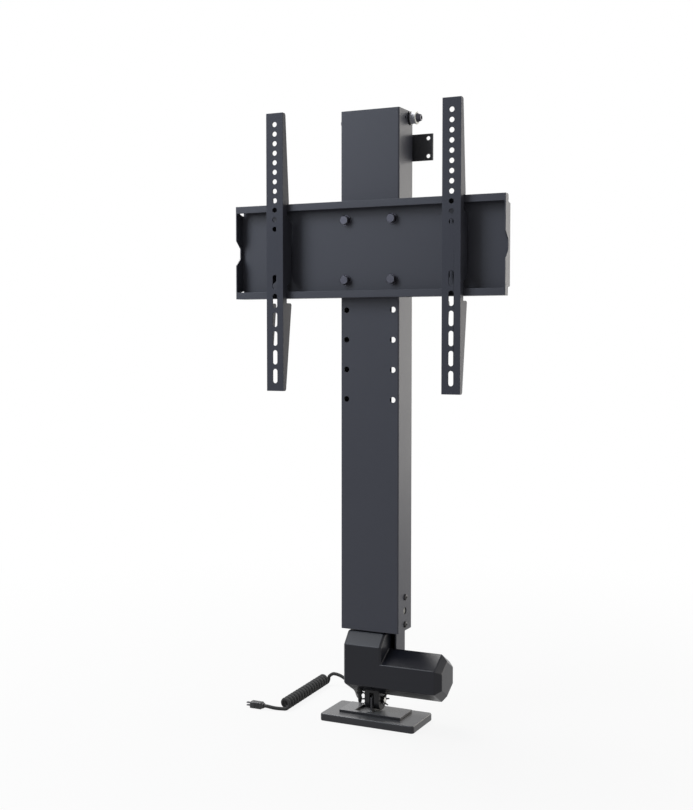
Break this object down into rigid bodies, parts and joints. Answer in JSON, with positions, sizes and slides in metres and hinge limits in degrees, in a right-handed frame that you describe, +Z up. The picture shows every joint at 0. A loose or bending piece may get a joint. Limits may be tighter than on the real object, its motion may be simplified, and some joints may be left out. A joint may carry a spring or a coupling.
{
  "type": "tv lift mechanism",
  "caption": "Motorised TV lift: a sheet steel column raised by a spindle actuator, with a screen plate, hook-on screen arms, a wall bracket, a hinged foot and a curly power lead.",
  "frame": {"origin": "on the foot pad's underside, on the floor below the middle of the column's width", "axes": "+X to the right seen from the screen side, +Y towards the wall, +Z up along the lift"},
  "size_m": [0.46, 0.2118, 0.9755],
  "materials": {
    "coated_steel": "fine satin powder coat, blue grey",
    "dark_steel": "black coated",
    "zinc_steel": "zinc plated",
    "black_plastic": "fine grained moulding",
    "foot_rubber": "satin moulding",
    "cord_sheath": "smooth flexible sheath",
    "white_nylon": "natural nylon",
    "bronze": "cast and cut",
    "switch_board": "circuit board"
  },
  "bodies": {
    "frame": {"clevis_fork": "coated_steel", "clevis_pin": "zinc_steel", "pin_clips": "zinc_steel", "housing_front": "black_plastic", "housing_rear": "black_plastic", "housing_screws": "zinc_steel", "motor_can": "zinc_steel", "motor_end_cap": "black_plastic", "motor_bearing": "zinc_steel", "thrust_bearing": "zinc_steel", "spindle_bearing": "zinc_steel", "actuator_tube": "coated_steel", "tube_top_bush": "white_nylon", "limit_switch_strip": "switch_board", "limit_switches": "black_plastic", "rail_left": "coated_steel", "rail_right": "coated_steel", "cross_plate": "coated_steel", "rail_bolts": "zinc_steel", "cross_plate_screws": "zinc_steel", "wall_bracket": "dark_steel", "bracket_screws": "zinc_steel", "top_glide_left": "white_nylon", "top_glide_right": "white_nylon", "glide_screws": "zinc_steel", "cord_gland": "black_plastic", "cord_lead": "cord_sheath", "cord_coil": "cord_sheath", "cord_tail": "cord_sheath", "cord_plug": "black_plastic", "plug_pins": "zinc_steel"},
    "foot": {"foot_pad": "foot_rubber", "foot_plate": "coated_steel"},
    "spindle": {"spindle": "zinc_steel", "worm_wheel": "bronze"},
    "worm": {"worm_shaft": "zinc_steel"},
    "carriage": {"outer_column": "coated_steel", "column_cap": "coated_steel", "cap_screws": "zinc_steel", "push_tube": "zinc_steel", "spindle_nut": "white_nylon", "crosshead": "coated_steel", "cross_shaft": "zinc_steel", "shaft_collars": "dark_steel", "shaft_bushes": "zinc_steel", "shaft_washers": "white_nylon", "shaft_end_screws": "dark_steel", "slider_left": "white_nylon", "slider_right": "white_nylon", "slider_screws": "dark_steel", "screen_plate": "coated_steel", "plate_bolts": "dark_steel", "plate_washers": "dark_steel", "plate_nuts": "zinc_steel"},
    "arm_left": {"arm_left": "coated_steel"},
    "arm_right": {"arm_right": "coated_steel"}
  },
  "joints": [
    {"name": "foot_tilt", "type": "hinge", "parent": "frame", "child": "foot", "pos_m": [0, 0.005, 0.034], "axis": [1, 0, 0], "range_deg": [-6, 6]},
    {"name": "lift", "type": "slide", "parent": "frame", "child": "carriage", "axis": [0, 0, 1], "range_m": [0, 0.648]},
    {"name": "spindle_turn", "type": "hinge", "parent": "frame", "child": "spindle", "pos_m": [0, 0.005, 0.083], "axis": [0, 0, 1], "continuous": true},
    {"name": "worm_turn", "type": "hinge", "parent": "frame", "child": "worm", "pos_m": [0, -0.013, 0.083], "axis": [1, 0, 0], "continuous": true},
    {"name": "arm_left_slide", "type": "slide", "parent": "carriage", "child": "arm_left", "axis": [-1, 0, 0], "range_m": [-0.08, 0.06]},
    {"name": "arm_right_slide", "type": "slide", "parent": "carriage", "child": "arm_right", "axis": [1, 0, 0], "range_m": [-0.08, 0.06]}
  ],
  "couplings": [
    {"joint": "spindle_turn", "follows": "lift", "rad_per_m": -523.6},
    {"joint": "worm_turn", "follows": "lift", "rad_per_m": 8377.6}
  ]
}
